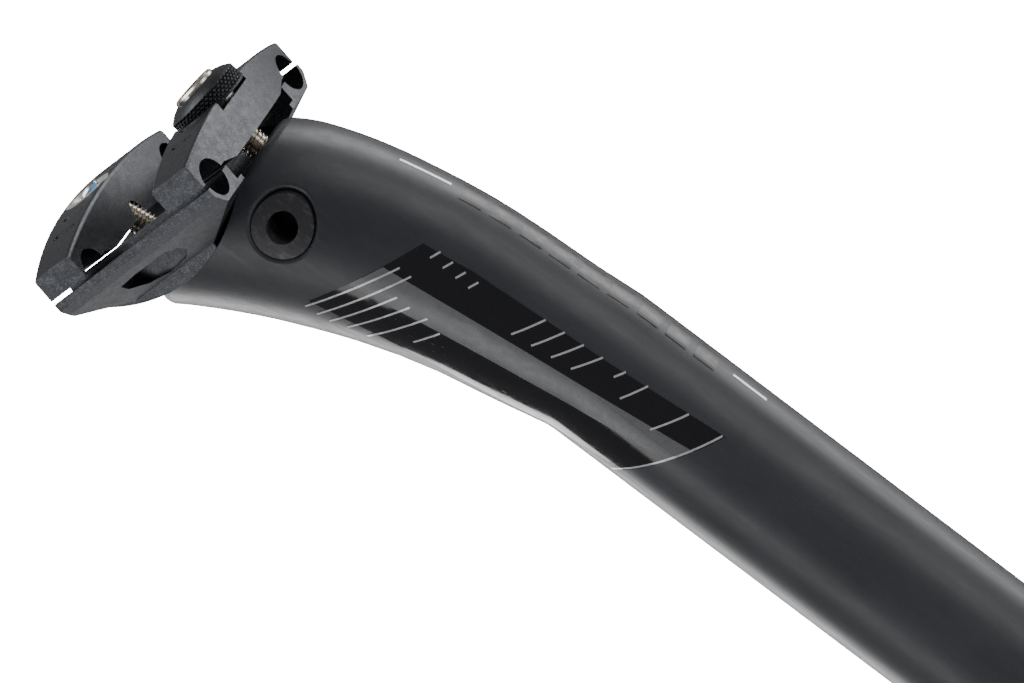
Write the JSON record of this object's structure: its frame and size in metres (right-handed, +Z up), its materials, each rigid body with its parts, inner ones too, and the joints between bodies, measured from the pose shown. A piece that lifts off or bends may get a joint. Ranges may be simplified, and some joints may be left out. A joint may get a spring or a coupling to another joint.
{
  "type": "set-back bicycle seatpost",
  "caption": "Rigid round seatpost whose head curves rearward into a micro-adjust saddle clamp with two screws, a lower cradle and separate front and rear upper yokes.",
  "frame": {"origin": "centre of the tube's lower end", "axes": "+Z up the tube's axis, +X forward (away from the set-back), +Y to the rider's left"},
  "size_m": [0.0549, 0.0526, 0.3623],
  "materials": {
    "carbon": "satin lacquer over carbon fibre",
    "plug": "moulded, satin",
    "steel": "turned",
    "anodised": "bead-blasted, black anodised",
    "screw": "bright, warm silver",
    "collar": "black anodised, knurled",
    "patch": "moulded-on nylon"
  },
  "bodies": {
    "post": {"post": "carbon", "barrel_plug_right": "plug", "barrel_plug_left": "plug"},
    "cradle": {"cradle": "anodised", "rear_washer": "steel"},
    "front_yoke": {"front_yoke": "anodised"},
    "rear_yoke": {"rear_yoke": "anodised"},
    "barrel_nut": {"barrel_nut": "steel"},
    "front_washer": {"front_washer": "steel"},
    "front_bolt": {"front_bolt": "screw", "front_collar": "collar"},
    "rear_bolt": {"rear_bolt": "screw", "thread_patch": "patch"}
  },
  "joints": [
    {"name": "cradle_tilt", "type": "hinge", "parent": "post", "child": "cradle", "pos_m": [-0.02056, 0, 0.36362], "axis": [0, 1, 0], "range_deg": [-5, 3.5]},
    {"name": "barrel_swivel", "type": "hinge", "parent": "post", "child": "barrel_nut", "pos_m": [-0.0076, 0, 0.33155], "axis": [0, 1, 0], "range_deg": [-2, 2]},
    {"name": "front_yoke_lift", "type": "slide", "parent": "cradle", "child": "front_yoke", "axis": [0.1063, 0, 0.9943], "range_m": [0, 0.005]},
    {"name": "washer_swivel", "type": "hinge", "parent": "front_yoke", "child": "front_washer", "pos_m": [-0.0052, 0, 0.35402], "axis": [0, 1, 0], "range_deg": [-7, 7]},
    {"name": "front_bolt_turn", "type": "hinge", "parent": "front_washer", "child": "front_bolt", "pos_m": [-0.0076, 0, 0.33155], "axis": [0.1063, 0, 0.9943], "range_deg": [0, 1800]},
    {"name": "rear_bolt_turn", "type": "hinge", "parent": "cradle", "child": "rear_bolt", "pos_m": [-0.0336, 0, 0.36105], "axis": [0.1392, 0, -0.9903], "range_deg": [0, 1800]},
    {"name": "rear_yoke_lift", "type": "slide", "parent": "cradle", "child": "rear_yoke", "axis": [-0.1392, 0, 0.9903], "range_m": [0, 0.005]}
  ],
  "couplings": [
    {"joint": "barrel_swivel", "follows": "cradle_tilt", "ratio": -0.28},
    {"joint": "washer_swivel", "follows": "cradle_tilt", "ratio": -1.28},
    {"joint": "front_yoke_lift", "follows": "front_bolt_turn", "m_per_rad": 0.00012732},
    {"joint": "rear_yoke_lift", "follows": "rear_bolt_turn", "m_per_rad": 0.00012732}
  ]
}
